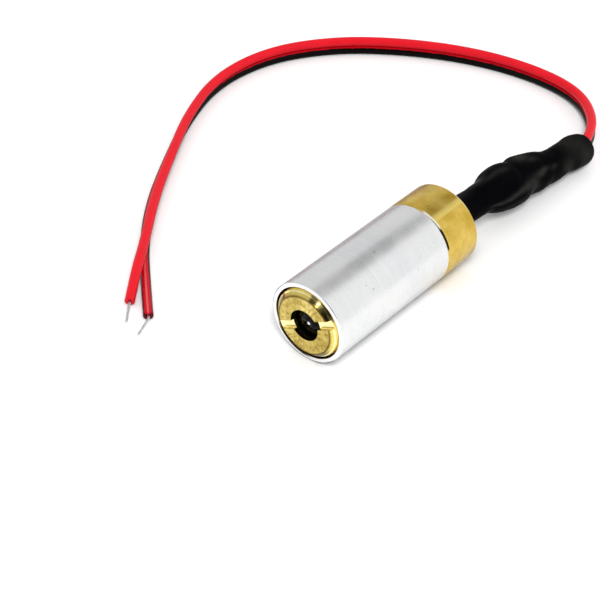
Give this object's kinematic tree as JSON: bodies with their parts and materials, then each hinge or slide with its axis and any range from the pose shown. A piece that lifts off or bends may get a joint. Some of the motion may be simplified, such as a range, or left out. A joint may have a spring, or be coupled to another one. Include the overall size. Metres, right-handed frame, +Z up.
{
  "type": "laser diode module",
  "caption": "Cylindrical laser module with a slotted focusing cell in front, a brass heat sink ring, a driver board in shrink tube and a bonded pair of bare-ended leads.",
  "frame": {"origin": "on the optical axis, in the middle of the aluminium barrel's length", "axes": "+Y along the optical axis from the front to the leads' side, so the beam leaves towards -Y; +Z up, with the module lying on its side on a surface at Z = -6 mm; +X to the right as seen from the front"},
  "size_m": [0.0602, 0.0874, 0.012],
  "materials": {
    "turned_aluminium": "satin, fine turning marks",
    "brass": "turned, slightly mottled",
    "black_brass": "blackened",
    "optical_glass": "polished",
    "spring_steel": "drawn wire",
    "gold_plate": "gold plated",
    "seal_glass": "fused",
    "nickel_plate": "nickel plated",
    "copper": "machined copper",
    "semiconductor": "cleaved",
    "laser_crystal": "polished",
    "doubling_crystal": "polished",
    "filter_glass": "coated",
    "shrink_tube": "satin black",
    "circuit_board": "solder mask",
    "tantalum_case": "moulded",
    "black_epoxy": "moulded",
    "chip_ceramic": "sintered",
    "solder": "bright",
    "red_insulation": "extruded",
    "black_insulation": "extruded",
    "tinned_copper": "tinned"
  },
  "bodies": {
    "housing": {"barrel": "turned_aluminium", "heat_sink": "brass", "diode_header": "gold_plate", "pin_seals": "seal_glass", "diode_pins": "gold_plate", "diode_cap": "nickel_plate", "diode_window": "optical_glass", "diode_mount_block": "copper", "diode_chip": "semiconductor", "crystal_holder": "brass", "laser_crystal": "laser_crystal", "doubling_crystal": "doubling_crystal", "infrared_filter": "filter_glass", "expander_lens": "optical_glass", "heat_shrink_sleeve": "shrink_tube", "driver_board": "circuit_board", "storage_capacitor": "tantalum_case", "power_transistor": "black_epoxy", "control_chip": "black_epoxy", "chip_resistors": "chip_ceramic", "chip_capacitor": "chip_ceramic", "pin_solder": "solder", "hookup_wires": "black_insulation", "red_lead": "red_insulation", "black_lead": "black_insulation", "red_lead_core": "tinned_copper", "black_lead_core": "tinned_copper", "board_solder": "solder"},
    "focus_carriage": {"focus_spring": "spring_steel"},
    "focus_cell": {"lens_cell": "brass", "collimating_lens": "optical_glass", "lens_retainer": "black_brass"}
  },
  "joints": [
    {"name": "focus_travel", "type": "slide", "parent": "housing", "child": "focus_carriage", "axis": [0, 1, 0], "range_m": [-0.0005, 0.0005], "deforming": ["focus_spring"]},
    {"name": "focus_turn", "type": "hinge", "parent": "focus_carriage", "child": "focus_cell", "pos_m": [0, -0.0119, 0], "axis": [0, 1, 0], "range_deg": [-360, 360]}
  ],
  "couplings": [
    {"joint": "focus_turn", "follows": "focus_travel", "rad_per_m": 12566}
  ]
}
